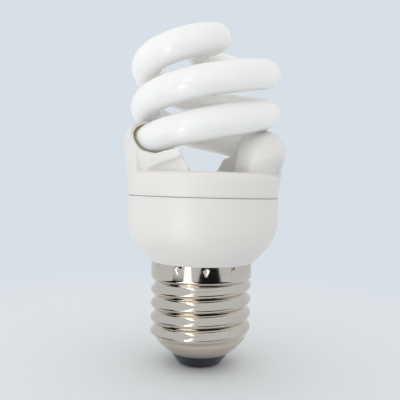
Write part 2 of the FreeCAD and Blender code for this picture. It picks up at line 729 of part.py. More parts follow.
def toroid_windings():
    """Turns of wire round the ring, each a closed loop of square section."""
    centre = Vector(TOROID_PLACE[0], TOROID_PLACE[1], BOARD_Z - 2 * TOROID_WIRE - TOROID_HEIGHT)
    width = TOROID_RADIUS - TOROID_HOLE
    loops = []
    for index in range(TOROID_TURNS):
        corner = Vector(TOROID_HOLE - 2 * TOROID_WIRE, -TOROID_WIRE, -2 * TOROID_WIRE)
        loop = Part.makeBox(width + 4 * TOROID_WIRE, 2 * TOROID_WIRE, TOROID_HEIGHT + 4 * TOROID_WIRE, corner)
        loop.rotate(ORIGIN, AXIS, 360.0 * index / TOROID_TURNS)
        loop.translate(centre)
        loops.append(loop.cut(toroid_core()).Solids[0])
    return Part.makeCompound(loops)


def transistor(place):
    """Half-round body on three legs under the board."""
    x, y = place
    top = BOARD_Z - TRANSISTOR_LEG_LENGTH
    base = Vector(x, y, top - TRANSISTOR_HEIGHT)
    body = post(TRANSISTOR_RADIUS, TRANSISTOR_HEIGHT, base)
    flat_side = block((4 * TRANSISTOR_RADIUS, 2 * TRANSISTOR_RADIUS, TRANSISTOR_HEIGHT),
                      x, y - TRANSISTOR_FLAT - TRANSISTOR_RADIUS, base.z)
    legs = [post(TRANSISTOR_LEG, TRANSISTOR_LEG_LENGTH, Vector(x + step * TRANSISTOR_PITCH, y, top))
            for step in (-1, 0, 1)]
    return merged([body.cut(flat_side)] + legs)


def film_capacitor(size):
    """Dipped film capacitor: a rounded block on two legs under the board."""
    length, depth, height, x, y, turn = size
    low = BOARD_Z - STAND_OFF - height
    body = block((length, depth, height), 0, 0, low)
    body = body.makeFillet(min(FILM_CORNER, depth / 3), body.Edges)
    legs = [post(LEAD_RADIUS, STAND_OFF + depth / 2, Vector(step * length / 3, 0, BOARD_Z - STAND_OFF - depth / 2))
            for step in (-1, 1)]
    part = merged([body] + legs)
    part.rotate(ORIGIN, AXIS, turn)
    part.translate(Vector(x, y, 0))
    return part


def axial_part(radius, length, span, x, y):
    """Round body that lies along Y on the board, on two bent leads."""
    height = BOARD_TOP_Z + radius + FIT
    body = Part.makeCylinder(radius, length, Vector(x, y - length / 2, height), Vector(0, 1, 0))
    rod = Part.makeCylinder(LEAD_RADIUS, span, Vector(x, y - span / 2, height), Vector(0, 1, 0))
    feet = [post(LEAD_RADIUS, height - BOARD_TOP_Z, Vector(x, y + end * (span / 2 - LEAD_RADIUS), BOARD_TOP_Z))
            for end in (-1, 1)]
    return merged([body, rod] + feet)


def row_of_axial_parts(count, pitch, radius, length, span, place):
    """Like parts side by side on the board."""
    return Part.makeCompound([axial_part(radius, length, span, place[0] + pitch * index, place[1])
                              for index in range(count)])


def bent_wire(points, radius, bend_radius):
    """Round wire through points, with a tangent arc at each corner."""
    edges = []
    start = points[0]
    for before, corner, after in zip(points, points[1:], points[2:]):
        back = (before - corner).normalize()
        ahead = (after - corner).normalize()
        half = math.acos(max(-1.0, min(1.0, back.dot(ahead)))) / 2
        reach = bend_radius / math.tan(half)
        first, last = corner + back * reach, corner + ahead * reach
        middle = (back + ahead).normalize()
        top = corner + middle * (bend_radius / math.sin(half) - bend_radius)
        edges += [line(start, first), Part.Arc(first, top, last).toShape()]
        start = last
    edges.append(line(start, points[-1]))
    way = points[1] - points[0]
    section = Part.Wire(Part.makeCircle(radius, points[0], way))
    return Part.Wire(edges).makePipeShell([section], True, False)


def fuse_axis(height):
    """Point on the fuse's upright axis."""
    return Vector(FUSE_PLACE[0], FUSE_PLACE[1], height)


def fusible_resistor():
    """Round fuse resistor in the neck, hung from the board by its lead."""
    top = BOARD_Z - FUSE_DROP
    body = post(FUSE_RADIUS, FUSE_LENGTH, fuse_axis(top - FUSE_LENGTH))
    ends = [edge for edge in body.Edges if isinstance(edge.Curve, Part.Circle)]
    lead = post(2 * LEAD_RADIUS, FUSE_DROP, fuse_axis(top))
    return merged([body.makeFillet(FUSE_RADIUS / 3, ends), lead])


def fuse_sleeve():
    """Insulating sleeve pushed over the fuse."""
    low = BOARD_Z - FUSE_DROP - FUSE_LENGTH
    outer = post(FUSE_RADIUS + SLEEVE_WALL, FUSE_LENGTH, fuse_axis(low))
    return outer.cut(post(FUSE_RADIUS, FUSE_LENGTH, fuse_axis(low)))


def live_wire():
    """Wire from the fuse to the head of the centre contact's rivet."""
    top = BOARD_Z - FUSE_DROP - FUSE_LENGTH
    low = RIM_Z + INSULATOR_CUP - INSULATOR_FLANGE / 2 + RIVET_HEAD_HEIGHT
    third = (top - low) / 3
    points = [fuse_axis(top), fuse_axis(top - third), Vector(0, 0, low + third), Vector(0, 0, low)]
    return bent_wire(points, WIRE_RADIUS, 3 * WIRE_RADIUS)


def neutral_wire():
    """Wire from the board down the neck and out to the inside of the shell."""
    inner = NECK_BORE - WIRE_RADIUS - FIT
    outer = ROOT_RADIUS - SHEET - WIRE_RADIUS - FIT
    step = 2.2 * (outer - inner)
    heights = [BOARD_Z, NECK_Z - WIRE_RADIUS, NECK_Z - WIRE_RADIUS - step, NECK_Z - WIRE_RADIUS - 2 * step]
    radii = [inner, inner, outer, outer]
    points = [polar(radius, NEUTRAL_BEARING, height) for radius, height in zip(radii, heights)]
    return bent_wire(points, WIRE_RADIUS, 2 * WIRE_RADIUS)


def tube_cement():
    """Bond between the glass and its hood along one bend."""
    angles = [TUBE_END, TUBE_END + HELIX_STEP]
    return bends(angles, SLEEVE_BORE - CEMENT_SKIN, TUBE_RADIUS + CEMENT_SKIN)[CEMENT_BEND]


def build():
    """All pieces of the lamp by node name."""
    left, right = pin_places()
    pieces = {
        "spiral_tube": spiral_tube(),
        "upper_cover": upper_cover(),
        "lower_housing": lower_housing(),
        "screw_shell": screw_shell(),
        "base_insulator": base_insulator(),
        "centre_contact": centre_contact(),
        "circuit_board": circuit_board(),
        "wrap_pins": Part.makeCompound([wrap_pin(spot) for spot in left + right]),
        "electrode_leads_left": Part.makeCompound([electrode_lead(spot) for spot in left]),
        "electrode_leads_right": Part.makeCompound([electrode_lead(spot) for spot in right]),
        "tube_cement_left": tube_cement(),
        "tube_cement_right": half_turned(tube_cement()),
        "bulk_capacitor": bulk_capacitor(),
        "choke_core_upper": choke_core(1),
        "choke_core_lower": choke_core(-1),
        "choke_bobbin": choke_bobbin(),
        "choke_winding": choke_winding(),
        "toroid_core": toroid_core(),
        "toroid_windings": toroid_windings(),
        "rectifier_diodes": row_of_axial_parts(
            DIODE_COUNT, DIODE_PITCH, DIODE_RADIUS, DIODE_LENGTH, DIODE_SPAN, DIODE_PLACE),
        "bias_resistors": row_of_axial_parts(
            RESISTOR_COUNT, RESISTOR_PITCH, RESISTOR_RADIUS, RESISTOR_LENGTH, RESISTOR_SPAN, RESISTOR_PLACE),
        "trigger_diac": axial_part(DIAC_RADIUS, DIAC_LENGTH, DIAC_SPAN, *DIAC_PLACE),
        "fusible_resistor": fusible_resistor(),
        "fuse_sleeve": fuse_sleeve(),
        "live_wire": live_wire(),
        "neutral_wire": neutral_wire(),
    }
    for name, place in TRANSISTOR_PLACES.items():
        pieces["transistor_" + name] = transistor(place)
    for name, size in FILM_CAPACITORS.items():
        pieces[name + "_capacitor"] = film_capacitor(size)
    return pieces


os.makedirs("parts", exist_ok=True)
for node, shape in build().items():
    shape.exportStep("parts/" + node + ".step")
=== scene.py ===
"""Looks of a spiral energy saving lamp with an E27 screw base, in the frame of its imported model.

Sizes are in millimetres and angles in degrees, unless a docstring says otherwise.
"""
import json
import logging
import math
from dataclasses import dataclass, field
from enum import Enum

import bmesh
import bpy
from mathutils import Matrix, Vector


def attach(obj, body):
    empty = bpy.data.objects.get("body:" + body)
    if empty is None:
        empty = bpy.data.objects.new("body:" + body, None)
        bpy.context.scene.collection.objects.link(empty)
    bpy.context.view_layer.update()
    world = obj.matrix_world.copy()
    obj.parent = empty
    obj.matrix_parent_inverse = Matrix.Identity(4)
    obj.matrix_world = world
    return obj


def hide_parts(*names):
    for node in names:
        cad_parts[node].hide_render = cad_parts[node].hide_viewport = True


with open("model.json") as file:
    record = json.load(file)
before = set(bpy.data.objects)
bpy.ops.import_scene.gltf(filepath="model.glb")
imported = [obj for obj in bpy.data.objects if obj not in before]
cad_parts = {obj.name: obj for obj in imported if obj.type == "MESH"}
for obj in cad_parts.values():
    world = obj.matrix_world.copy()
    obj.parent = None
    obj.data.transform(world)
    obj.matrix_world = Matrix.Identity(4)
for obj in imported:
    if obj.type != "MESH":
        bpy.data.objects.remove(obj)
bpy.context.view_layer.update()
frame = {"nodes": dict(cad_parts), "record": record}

BODY = "root"
LOG = logging.getLogger("lamp")

# A millimetre in metres, and the distance in metres below which points become one.
MM = 0.001
MERGE = 1e-6

# The sRGB curve: a straight foot, then a power.
SRGB_FOOT = 0.04045
SRGB_FOOT_SLOPE = 12.92
SRGB_OFFSET = 0.055
SRGB_POWER = 2.4

# Sockets of a Mix node that blends colours.
MIX_FIRST, MIX_SECOND, MIX_RESULT = 6, 7, 2
# Octaves of the noise in the drift of the shade and in the speckle.
DRIFT_DETAIL, SPECKLE_DETAIL = 3.0, 2.0
# Bands of wound wire: their rate against the grain size, their wander and its octaves.
WOUND_RATE, WOUND_WANDER, WOUND_DETAIL = 0.5, 0.4, 1.0
# Scale of a drawn grain on each axis: long round the shell, fine along it.
DRAWN_STRETCH = (0.12, 0.12, 1.0)
# How far red, green and blue light travel inside a translucent surface, as shares.
SCATTER_TINT = (1.0, 0.9, 0.8)

Outline = list[tuple[float, float]]
Place = tuple[float, float, float]
Inputs = dict[str | int, object]
Links = dict[str | int, bpy.types.NodeSocket]


class Grain(Enum):
    """How the fine pattern of a finish runs."""

    SPECKLE = "speckle"
    WOUND = "wound"
    DRAWN = "drawn"


def linear(colour: str) -> tuple[float, float, float, float]:
    """Linear colour from an sRGB hex value.

    Args:
        colour: six hex digits after a hash.

    Returns:
        Red, green, blue and an alpha of 1.
    """
    parts = [int(colour[start:start + 2], 16) / 255 for start in (1, 3, 5)]
    values = [
        part / SRGB_FOOT_SLOPE
        if part <= SRGB_FOOT
        else ((part + SRGB_OFFSET) / (1 + SRGB_OFFSET)) ** SRGB_POWER
        for part in parts
    ]
    return (*values, 1.0)


def add_node(
    tree: bpy.types.NodeTree,
    kind: str,
    values: Inputs | None = None,
    links: Links | None = None,
    **settings: object,
) -> bpy.types.Node:
    """Adds a node with its settings and links.

    Args:
        tree: node tree that takes the node.
        kind: node type.
        values: input names or indices with their constants.
        links: input names or indices with the sockets that feed them.
        settings: the node's own properties.

    Returns:
        The new node.
    """
    node = tree.nodes.new(kind)
    for name, value in settings.items():
        setattr(node, name, value)
    for name, value in (values or {}).items():
        node.inputs[name].default_value = value
    for name, socket in (links or {}).items():
        tree.links.new(socket, node.inputs[name])
    return node


def per_metre(size_mm: float) -> float:
    """Texture scale whose pattern repeats about once in a size in millimetres."""
    return 1.0 / (size_mm * MM)


@dataclass(frozen=True)
class Finish:
    """A surface: two shades that drift into each other, a fine grain and a gloss."""

    name: str
    shade: str
    far_shade: str
    drift_mm: float
    grain_mm: float
    relief_mm: float
    gloss: tuple[float, float]
    ior: float = 1.5
    metallic: float = 0.0
    coat: float = 0.0
    coat_roughness: float = 0.03
    specular: float = 0.5
    translucence: float = 0.0
    scatter_mm: float = 2.0
    grain: Grain = Grain.SPECKLE

    def material(self) -> bpy.types.Material:
        """Builds the procedural material.

        Returns:
            A material that reads Object coordinates.
        """
        made = bpy.data.materials.new(self.name)
        made.use_nodes = True
        tree = made.node_tree
        shader = tree.nodes["Principled BSDF"]
        place = add_node(tree, "ShaderNodeTexCoord").outputs["Object"]
        drift = add_node(
            tree,
            "ShaderNodeTexNoise",
            {"Scale": per_metre(self.drift_mm), "Detail": DRIFT_DETAIL},
            {"Vector": place},
        )
        blend = add_node(
            tree,
            "ShaderNodeMix",
            {MIX_FIRST: linear(self.shade), MIX_SECOND: linear(self.far_shade)},
            {"Factor": drift.outputs["Fac"]},
            data_type="RGBA",
        )
        fine = self.fine_pattern(tree, place)
        spread = add_node(
            tree,
            "ShaderNodeMapRange",
            {"To Min": self.gloss[0], "To Max": self.gloss[1]},
            {"Value": fine},
        )
        bump = add_node(
            tree,
            "ShaderNodeBump",
            {"Strength": 1.0, "Distance": self.relief_mm * MM},
            {"Height": fine},
        )
        tree.links.new(blend.outputs[MIX_RESULT], shader.inputs["Base Color"])
        tree.links.new(spread.outputs["Result"], shader.inputs["Roughness"])
        tree.links.new(bump.outputs["Normal"], shader.inputs["Normal"])
        for name, value in self.constants().items():
            shader.inputs[name].default_value = value
        return made

    def constants(self) -> Inputs:
        """Values that are the same all over the surface.

        Returns:
            The shader's input names with their values. A metal keeps the default IOR.
        """
        values = {
            "Metallic": self.metallic,
            "Specular IOR Level": self.specular,
            "Coat Weight": self.coat,
            "Coat Roughness": self.coat_roughness,
            "Subsurface Weight": self.translucence,
            "Subsurface Radius": SCATTER_TINT,
            "Subsurface Scale": self.scatter_mm * MM,
        }
        if not self.metallic:
            values["IOR"] = self.ior
        return values

    def fine_pattern(
        self, tree: bpy.types.NodeTree, place: bpy.types.NodeSocket
    ) -> bpy.types.NodeSocket:
        """Adds the fine pattern that gives relief and gloss.

        Args:
            tree: the material's node tree.
            place: socket with Object coordinates.

        Returns:
            Socket with the pattern's height from 0 to 1.
        """
        scale = per_metre(self.grain_mm)
        if self.grain is Grain.WOUND:
            bands = add_node(
                tree,
                "ShaderNodeTexWave",
                {"Scale": scale * WOUND_RATE, "Distortion": WOUND_WANDER, "Detail": WOUND_DETAIL},
                {"Vector": place},
                bands_direction="Z",
            )
            return bands.outputs["Fac"]
        if self.grain is Grain.DRAWN:
            mapping = add_node(
                tree, "ShaderNodeMapping", {"Scale": DRAWN_STRETCH}, {"Vector": place}
            )
            place = mapping.outputs["Vector"]
        speckle = add_node(
            tree,
            "ShaderNodeTexNoise",
            {"Scale": scale, "Detail": SPECKLE_DETAIL},
            {"Vector": place},
        )
        return speckle.outputs["Fac"]


# Mould texture, drawn grain, powder and paper fibres are finer than a pixel of the render on the
# real lamp, so their grain is drawn as coarse as it needs to show.

# Injection-moulded PBT: warm white, fine mould texture, soft broad gloss.
MOULDED_WHITE = Finish(
    "moulded_white_pbt", shade="#E9E7E4", far_shade="#E5E3DF",
    drift_mm=14.0, grain_mm=0.35, relief_mm=0.004, gloss=(0.32, 0.44),
    translucence=0.35, scatter_mm=2.5,
)
# Soda-lime glass with a powder coat inside: matt milky white under a clear, sharp gloss.
COATED_GLASS = Finish(
    "phosphor_coated_glass", shade="#F3F3F2", far_shade="#EFEFEE",
    drift_mm=9.0, grain_mm=1.2, relief_mm=0.001, gloss=(0.42, 0.5),
    ior=1.52, coat=1.0, specular=0.0, translucence=0.9, scatter_mm=8.0,
)
# Bright nickel on rolled sheet: mirror-like with a faint drawn grain round the shell.
NICKEL = Finish(
    "bright_nickel_plate", shade="#DBD2C5", far_shade="#CEC4B6",
    drift_mm=6.0, grain_mm=0.5, relief_mm=0.001, gloss=(0.05, 0.13),
    metallic=1.0, grain=Grain.DRAWN,
)
# Pressed black glass: deep blue-black with a soft gloss.
BLACK_GLASS = Finish(
    "pressed_black_glass", shade="#14171E", far_shade="#1B1E27",
    drift_mm=4.0, grain_mm=0.6, relief_mm=0.004, gloss=(0.16, 0.28), ior=1.52,
)
# Tin-plated brass contact with a solder film: dull pale metal.
SOLDERED_BRASS = Finish(
    "soldered_brass", shade="#C9BFA4", far_shade="#B8AE98",
    drift_mm=2.0, grain_mm=0.4, relief_mm=0.01, gloss=(0.3, 0.5), metallic=1.0,
)
# Phenolic paper board: brown with paper fibres.
PHENOLIC = Finish(
    "phenolic_board", shade="#A57B45", far_shade="#8F6836",
    drift_mm=5.0, grain_mm=0.3, relief_mm=0.01, gloss=(0.45, 0.6),
)
# Tinned copper wire: soft grey metal.
TINNED_WIRE = Finish(
    "tinned_wire", shade="#C9C9C6", far_shade="#B4B4B2",
    drift_mm=1.5, grain_mm=0.3, relief_mm=0.004, gloss=(0.25, 0.4), metallic=1.0,
)
# Bonding cement: olive-brown, chalky and grainy.
CEMENT = Finish(
    "bonding_cement", shade="#B3A672", far_shade="#A2935F",
    drift_mm=1.5, grain_mm=0.3, relief_mm=0.05, gloss=(0.75, 0.95),
)
# PVC shrink sleeve of the electrolytic: dark blue with a soft gloss.
PVC_SLEEVE = Finish(
    "pvc_shrink_sleeve", shade="#1B2740", far_shade="#222F4C",
    drift_mm=4.0, grain_mm=0.5, relief_mm=0.01, gloss=(0.25, 0.4),
)
# Sintered ferrite: matt charcoal.
FERRITE = Finish(
    "sintered_ferrite", shade="#3A3A3C", far_shade="#2E2E30",
    drift_mm=2.0, grain_mm=0.25, relief_mm=0.02, gloss=(0.5, 0.7),
)
# Moulded epoxy: matt black.
EPOXY = Finish(
    "moulded_epoxy", shade="#202022", far_shade="#2A2A2C",
    drift_mm=3.0, grain_mm=0.25, relief_mm=0.01, gloss=(0.5, 0.65),
)
# Enamelled copper wire, wound in layers: orange-brown metal in fine bands.
COPPER = Finish(
    "enamelled_copper", shade="#B4622F", far_shade="#9C4F22",
    drift_mm=2.0, grain_mm=0.35, relief_mm=0.08, gloss=(0.22, 0.35),
    metallic=1.0, grain=Grain.WOUND,
)
# Lacquered ceramic body of small resistors: sandy with a soft gloss.
LACQUER = Finish(
    "lacquered_ceramic", shade="#C6A67A", far_shade="#B8966A",
    drift_mm=1.5, grain_mm=0.3, relief_mm=0.01, gloss=(0.35, 0.5),
)
# Dipped film capacitor: red-brown resin with a wet gloss.
DIPPED_RESIN = Finish(
    "dipped_resin", shade="#7A2A18", far_shade="#682013",
    drift_mm=2.5, grain_mm=0.5, relief_mm=0.01, gloss=(0.2, 0.3),
)
# Braided glass-fibre sleeve: off-white and matt.
FIBRE_SLEEVE = Finish(
    "glass_fibre_sleeve", shade="#D8D5CB", far_shade="#CBC7BB",
    drift_mm=1.5, grain_mm=0.4, relief_mm=0.04, gloss=(0.7, 0.85),
)


def deselect() -> None:
    """Leaves edit mode and deselects everything."""
    if bpy.context.object and bpy.context.object.mode != "OBJECT":
        bpy.ops.object.mode_set(mode="OBJECT")
    bpy.ops.object.select_all(action="DESELECT")


def select_only(piece: bpy.types.Object) -> None:
    """Makes one piece the selected and active one.

    Args:
        piece: the object to select.
    """
    deselect()
    piece.select_set(True)
    bpy.context.view_layer.objects.active = piece


def open_mesh(piece: bpy.types.Object) -> None:
    """Opens a piece in edit mode with all of it selected.

    Args:
        piece: the mesh object to edit.
    """
    select_only(piece)
    bpy.ops.object.mode_set(mode="EDIT")
    bpy.ops.mesh.select_all(action="SELECT")


def close_mesh() -> None:
    """Turns the faces of the mesh in edit mode outwards and leaves edit mode."""
    bpy.ops.mesh.select_all(action="SELECT")
    bpy.ops.mesh.normals_make_consistent(inside=False)
    bpy.ops.object.mode_set(mode="OBJECT")


def apply_modifier(piece: bpy.types.Object, kind: str, **settings: object) -> None:
    """Adds a modifier to a piece and applies it.

    Args:
        piece: the object that takes it.
        kind: modifier type.
        settings: the modifier's properties.
    """
    select_only(piece)
    modifier = piece.modifiers.new(kind.lower(), kind)
    for name, value in settings.items():
        setattr(modifier, name, value)
    bpy.ops.object.modifier_apply(modifier=modifier.name)


def lathed(name: str, outline: Outline, segments: int) -> bpy.types.Object:
    """Turns a closed outline about the lamp axis.

    Args:
        name: name of the piece.
        outline: (radius, height) points, in order round the section.
        segments: steps of the spin.

    Returns:
        A closed mesh object at the origin.
    """
    deselect()
    bpy.ops.mesh.primitive_plane_add(size=MM)
    piece = bpy.context.object
    piece.name = piece.data.name = name
    open_mesh(piece)
    bpy.ops.mesh.merge(type="CENTER")
    points = [Vector((radius * MM, 0, height * MM)) for radius, height in outline]
    bpy.ops.transform.translate(value=points[0])
    for start, end in zip(points, points[1:] + points[:1]):
        bpy.ops.mesh.extrude_vertices_move(TRANSFORM_OT_translate={"value": end - start})
    bpy.ops.mesh.select_all(action="SELECT")
    bpy.ops.mesh.remove_doubles(threshold=MERGE)
    bpy.ops.mesh.spin(steps=segments, angle=math.tau, center=(0, 0, 0), axis=(0, 0, 1))
    bpy.ops.mesh.select_all(action="SELECT")
    bpy.ops.mesh.remove_doubles(threshold=MERGE)
    close_mesh()
    return piece


def lofted(name: str, frames: list[Matrix], segments: int, capped: bool) -> bpy.types.Object:
    """Extrudes a unit ring from frame to frame.

    Args:
        name: name of the piece.
        frames: place, turn and size of the ring at each station, in metres.
        segments: vertices of the ring.
        capped: whether both ends get a face.

    Returns:
        A mesh object at the origin.
    """
    deselect()
    bpy.ops.mesh.primitive_circle_add(vertices=segments, radius=1.0, fill_type="NOTHING")
    piece = bpy.context.object
    piece.name = piece.data.name = name
    piece.data.transform(frames[0])
    open_mesh(piece)
    if capped:
        bpy.ops.mesh.edge_face_add()
        bpy.ops.mesh.select_all(action="SELECT")
    for last, following in zip(frames, frames[1:]):
        if capped:
            bpy.ops.mesh.extrude_region_move()
        else:
            bpy.ops.mesh.extrude_edges_move()
        shape = bmesh.from_edit_mesh(piece.data)
        ring = [vertex for vertex in shape.verts if vertex.select]
        bmesh.ops.transform(shape, matrix=following @ last.inverted(), verts=ring)
    close_mesh()
    return piece


def ring_places(points: list[Vector]) -> list[tuple[Vector, Vector, Vector]]:
    """Places of a ring that runs along a line, turned as little as possible.

    Args:
        points: the line.

    Returns:
        Middle, way of the line and a direction across it, for each point.
    """
    ways = [
        (points[min(index + 1, len(points) - 1)] - points[max(index - 1, 0)]).normalized()
        for index in range(len(points))
    ]
    side = ways[0].orthogonal().normalized()
    places = []
    for point, way in zip(points, ways):
        side = (side - way * side.dot(way)).normalized()
        places.append((point, way, side))
    return places


def ring_frame(point: Vector, way: Vector, across: Vector, radius: float) -> Matrix:
    """Frame in metres that puts a unit ring at a place, with its radius."""
    basis = Matrix((across, way.cross(across), way)).transposed().to_4x4()
    return Matrix.Translation(point * MM) @ basis @ Matrix.Scale(radius * MM, 4)


def arc(
    centre: tuple[float, float], radius: float, start: float, end: float, steps: int
) -> Outline:
    """Points of an outline along an arc.

    Args:
        centre: (radius, height) of the arc's middle.
        radius: of the arc.
        start: first angle from outwards, turning up.
        end: last angle.
        steps: number of pieces.

    Returns:
        The points from start to end.
    """
    angles = [math.radians(start + (end - start) * step / steps) for step in range(steps + 1)]
    return [
        (centre[0] + radius * math.cos(angle), centre[1] + radius * math.sin(angle))
        for angle in angles
    ]


def smooth_step(low: float, high: float, value: float) -> float:
    """Share from 0 at low to 1 at high, with a soft start and end."""
    share = min(1.0, max(0.0, (value - low) / (high - low)))
    return share * share * (3 - 2 * share)


def place_piece(
    piece: bpy.types.Object, finish: Finish, node: str, sharp: float
) -> None:
    """Dresses a finished piece and puts it in the place of a CAD node.

    Args:
        piece: the finished mesh object.
        finish: its surface.
        node: the CAD node it stands for.
        sharp: angle above which an edge stays sharp.
    """
    select_only(piece)
    bpy.ops.object.shade_smooth_by_angle(angle=math.radians(sharp))
    piece.data.materials.clear()
    piece.data.materials.append(finish.material())
    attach(piece, BODY)
    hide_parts(node)
    LOG.info("%s: %d faces", piece.name, len(piece.data.polygons))


@dataclass
class GlassSpiral:
    """Glass tube: two rising arms joined by a bridge over the axis."""

    tube_radius: float = 3.8
    spiral_radius: float = 15.6
    lead: float = 20.2
    front_bearing: float = 270.0
    front_height: float = 60.8
    end_bearing: float = 150.0
    bridge_bearing: float = 565.0
    bridge_span: float = 115.0
    bridge_rise: float = 6.8
    station: float = 4.0
    segments: int = 48
    cap_steps: int = 5
    cap_turn: float = 84.0
    sharp: float = 60.0

    def arm_point(self, bearing: float) -> Vector:
        """Centre of the left arm at a bearing.

        The bridge leaves the arm at the arm's slope and lies level over the axis.

        Args:
            bearing: along the arm, counted on through its turns.

        Returns:
            The point.
        """
        per_degree = self.lead / 360.0
        angle = math.radians(bearing)
        if bearing <= self.bridge_bearing:
            height = self.front_height + per_degree * (bearing - self.front_bearing)
            reach = self.spiral_radius
        else:
            share = (bearing - self.bridge_bearing) / self.bridge_span
            foot = self.front_height + per_degree * (self.bridge_bearing - self.front_bearing)
            ease = share ** 3 - 2 * share ** 2 + share
            height = foot + per_degree * self.bridge_span * ease
            height += self.bridge_rise * share ** 2 * (3 - 2 * share)
            reach = self.spiral_radius * math.cos(share * math.pi / 2)
        return Vector((reach * math.cos(angle), reach * math.sin(angle), height))

    def path(self) -> list[Vector]:
        """Centre line of the whole tube.

        Returns:
            Points from the left end over the bridge to the right end.
        """
        last = self.bridge_bearing + self.bridge_span
        count = round((last - self.end_bearing) / self.station)
        step = (last - self.end_bearing) / count
        arm = [self.arm_point(self.end_bearing + step * index) for index in range(count + 1)]
        other = [Vector((-point.x, -point.y, point.z)) for point in arm[-2::-1]]
        return arm + other

    def frames(self) -> list[Matrix]:
        """Ring places along the tube, with rounded ends.

        Returns:
            One matrix for each ring, in metres, turned as little as possible.
        """
        places = ring_places(self.path())
        frames = [ring_frame(*place, self.tube_radius) for place in places]
        for step in range(1, self.cap_steps + 1):
            turn = math.radians(self.cap_turn * step / self.cap_steps)
            reach, radius = self.tube_radius * math.sin(turn), self.tube_radius * math.cos(turn)
            for (point, way, across), end in ((places[0], -1), (places[-1], 1)):
                frame_at_end = ring_frame(point + way * reach * end, way, across, radius)
                frames.insert(0 if end < 0 else len(frames), frame_at_end)
        return frames

    def build(self) -> None:
        """Makes the tube and dresses it."""
        piece = lofted("glass_spiral", self.frames(), self.segments, capped=True)
        place_piece(piece, COATED_GLASS, "spiral_tube", self.sharp)


@dataclass
class CementBond:
    """Rings of cement between the glass ends and their hoods, up to just inside the mouths."""

    radius: float = 4.14
    thickness: float = 0.28
    start_bearing: float = 164.0
    end_bearing: float = 224.0
    steps: int = 24
    segments: int = 40
    mouth_bearing: float = 212.0
    mouth_lean: float = 34.0
    inset: float = 0.3
    sharp: float = 40.0

    def ring(self, glass: GlassSpiral, name: str, turn: Matrix) -> bpy.types.Object:
        """Makes one ring and trims it level with the leaning mouth.

        Args:
            glass: the tube that it bonds.
            name: name of the piece.
            turn: turn about the axis from the left end.

        Returns:
            The trimmed ring.
        """
        step = (self.end_bearing - self.start_bearing) / self.steps
        bearings = [self.start_bearing + step * index for index in range(self.steps + 1)]
        line = [turn @ glass.arm_point(bearing) for bearing in bearings]
        frames = [ring_frame(*place, self.radius) for place in ring_places(line)]
        piece = lofted(name, frames, self.segments, capped=False)
        apply_modifier(piece, "SOLIDIFY", thickness=self.thickness * MM, offset=-1.0)
        mouth, lean = math.radians(self.mouth_bearing), math.radians(self.mouth_lean)
        tangent = Vector((-math.sin(mouth), math.cos(mouth), 0.0))
        facing = turn @ (tangent * math.cos(lean) + Vector((0, 0, math.sin(lean))))
        middle = turn @ glass.arm_point(self.mouth_bearing) - facing * self.inset
        open_mesh(piece)
        bpy.ops.mesh.bisect(
            plane_co=middle * MM, plane_no=facing, use_fill=True, clear_outer=True
        )
        close_mesh()
        return piece

    def build(self, glass: GlassSpiral) -> None:
        """Makes both rings and dresses them.

        Args:
            glass: the tube that they bond.
        """
        for side, degrees in (("left", 0.0), ("right", 180.0)):
            turn = Matrix.Rotation(math.radians(degrees), 3, "Z")
            piece = self.ring(glass, f"cement_ring_{side}", turn)
            place_piece(piece, CEMENT, f"tube_cement_{side}", self.sharp)


@dataclass
class HoodedCover:
    """White cover with the two hoods, its moulded edges softened."""

    voxel: float = 0.3
    smoothing: float = 0.5
    rounds: int = 6
    sharp: float = 60.0

    def build(self) -> None:
        """Softens a copy of the cover's solid and dresses it."""
        source = frame["nodes"]["upper_cover"]
        piece = bpy.data.objects.new("hooded_cover", source.data.copy())
        bpy.context.scene.collection.objects.link(piece)
        open_mesh(piece)
        bpy.ops.mesh.remove_doubles(threshold=MERGE)
        bpy.ops.object.mode_set(mode="OBJECT")
        apply_modifier(piece, "REMESH", mode="VOXEL", voxel_size=self.voxel * MM)
        apply_modifier(piece, "SMOOTH", factor=self.smoothing, iterations=self.rounds)
        place_piece(piece, MOULDED_WHITE, "upper_cover", self.sharp)


@dataclass
class BallastHousing:
    """White bowl below the seam, with a neck inside the screw shell."""

    radius: float = 19.5
    seam: float = 43.66
    foot: float = 27.1
    foot_radius: float = 13.6
    foot_land: float = 0.25
    slope: float = 42.0
    rounding: float = 10.5
    rounding_steps: int = 14
    wall: float = 1.6
    neck_radius: float = 12.7
    neck_bore: float = 11.3
    neck_end: float = 23.67
    edge: float = 0.15
    edge_steps: int = 4
    segments: int = 160
    sharp: float = 35.0

    def side(self, offset: float) -> Outline:
        """Side of the bowl from the foot up to its straight rim.

        Args:
            offset: how far the line lies inside the outer face.

        Returns:
            The points from the foot up, without the seam edge.
        """
        slope = math.radians(self.slope)
        foot_radius = self.foot_radius - offset * math.cos(slope)
        foot = self.foot + offset * math.sin(slope)
        radius = self.rounding - offset
        centre = self.radius - self.rounding
        touch = centre + radius * math.cos(slope)
        height = foot + (touch - foot_radius) / math.tan(slope) + radius * math.sin(slope)
        bend = arc((centre, height), radius, -self.slope, 0.0, self.rounding_steps)
        return [(foot_radius, foot)] + bend

    def build(self) -> None:
        """Turns the bowl and dresses it."""
        inner = self.side(self.wall)
        rim_centre = (self.radius - self.edge, self.seam - self.edge)
        outline = [(self.neck_bore, self.neck_end), (self.neck_radius, self.neck_end)]
        outline += [(self.neck_radius, self.foot)]
        outline += [(self.foot_radius - self.foot_land, self.foot)]
        outline += self.side(0.0) + arc(rim_centre, self.edge, 0.0, 90.0, self.edge_steps)
        outline += [(self.radius - self.wall, self.seam)] + inner[::-1]
        outline += [(self.neck_bore, inner[0][1])]
        piece = lathed("ballast_housing", outline, self.segments)
        place_piece(piece, MOULDED_WHITE, "lower_housing", self.sharp)


